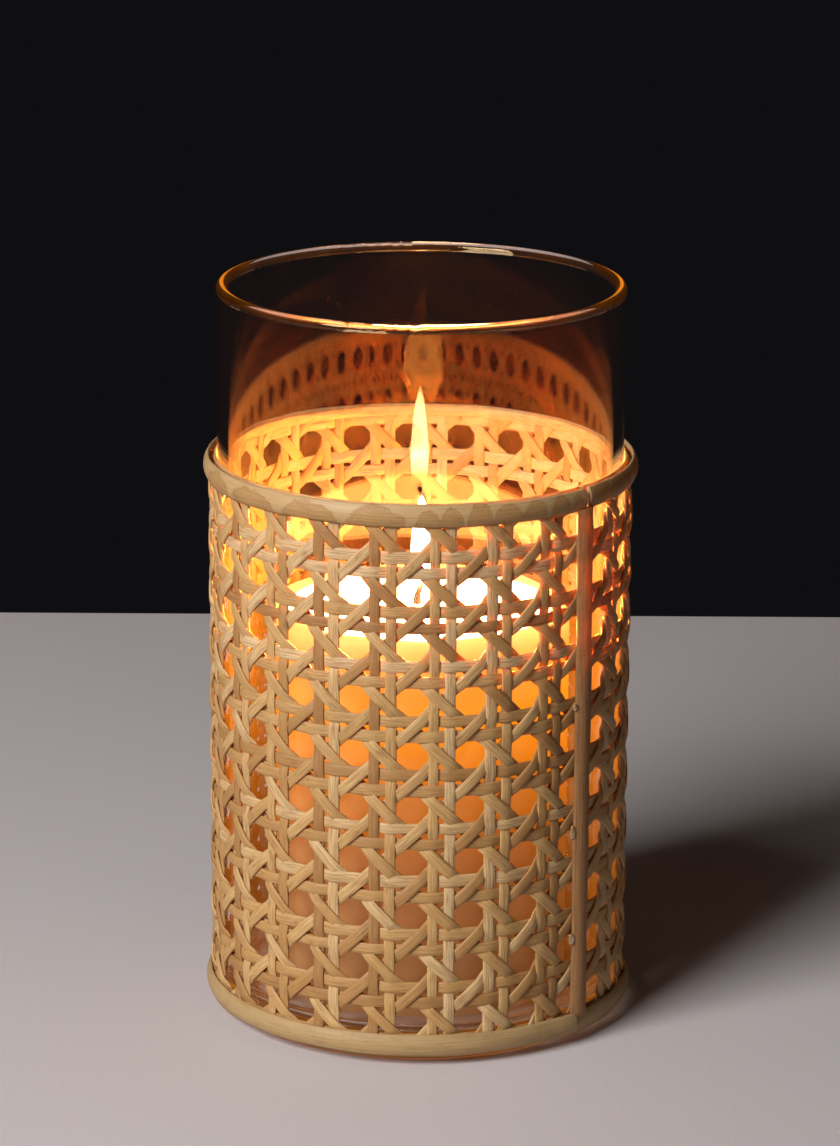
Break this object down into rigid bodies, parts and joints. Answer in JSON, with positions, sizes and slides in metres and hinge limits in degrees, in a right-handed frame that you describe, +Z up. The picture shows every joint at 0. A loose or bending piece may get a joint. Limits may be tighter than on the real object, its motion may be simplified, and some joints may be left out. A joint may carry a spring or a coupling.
{
  "type": "hurricane candle holder",
  "caption": "Clear glass hurricane cylinder in a glued sleeve of woven cane with rattan binding strips, holding a lift-out pillar candle.",
  "frame": {"origin": "centre of the glass underside, on the table plane", "axes": "+Z up along the cylinder axis, -Y is the front as pictured, the sleeve seam is about 49 degrees from the front towards +X"},
  "size_m": [0.1006, 0.1006, 0.173],
  "materials": {
    "glass": "clear drawn glass, fire-polished rim",
    "cane": "natural split cane, satin, fine lengthwise grain",
    "rattan": "half-round rattan, satin",
    "rattan_dark": "half-round rattan, darker stain",
    "glue": "clear dried glue",
    "wax": "ivory paraffin wax, soft sheen",
    "wick": "charred braided cotton",
    "tin": "tinned stamped steel"
  },
  "bodies": {
    "holder": {"glass_vessel": "glass", "top_binding": "rattan", "bottom_binding": "rattan", "seam_strip": "rattan_dark", "glue_beads": "glue", "hoops_0": "cane", "hoops_1": "cane", "hoops_2": "cane", "hoops_3": "cane", "hoops_4": "cane", "hoops_5": "cane", "hoops_6": "cane", "hoops_7": "cane", "hoops_8": "cane", "hoops_9": "cane", "hoops_10": "cane", "uprights_1": "cane", "uprights_2": "cane", "uprights_3": "cane", "uprights_4": "cane", "uprights_5": "cane", "uprights_6": "cane", "uprights_7": "cane", "uprights_8": "cane", "uprights_9": "cane", "uprights_10": "cane", "uprights_11": "cane", "uprights_12": "cane", "uprights_13": "cane", "uprights_14": "cane", "uprights_15": "cane", "uprights_16": "cane", "uprights_17": "cane", "uprights_18": "cane", "uprights_19": "cane", "uprights_20": "cane", "uprights_21": "cane", "uprights_22": "cane", "rising_strands_0": "cane", "rising_strands_1": "cane", "rising_strands_2": "cane", "rising_strands_3": "cane", "rising_strands_4": "cane", "rising_strands_5": "cane", "rising_strands_6": "cane", "rising_strands_7": "cane", "falling_strands_0": "cane", "falling_strands_1": "cane", "falling_strands_2": "cane", "falling_strands_3": "cane", "falling_strands_4": "cane", "falling_strands_5": "cane", "falling_strands_6": "cane", "falling_strands_7": "cane"},
    "candle": {"wax_body": "wax", "wick": "wick", "wick_sustainer": "tin"}
  },
  "joints": [
    {"name": "candle_lift", "type": "slide", "parent": "holder", "child": "candle", "axis": [0, 0, 1], "range_m": [0, 0.17]}
  ]
}
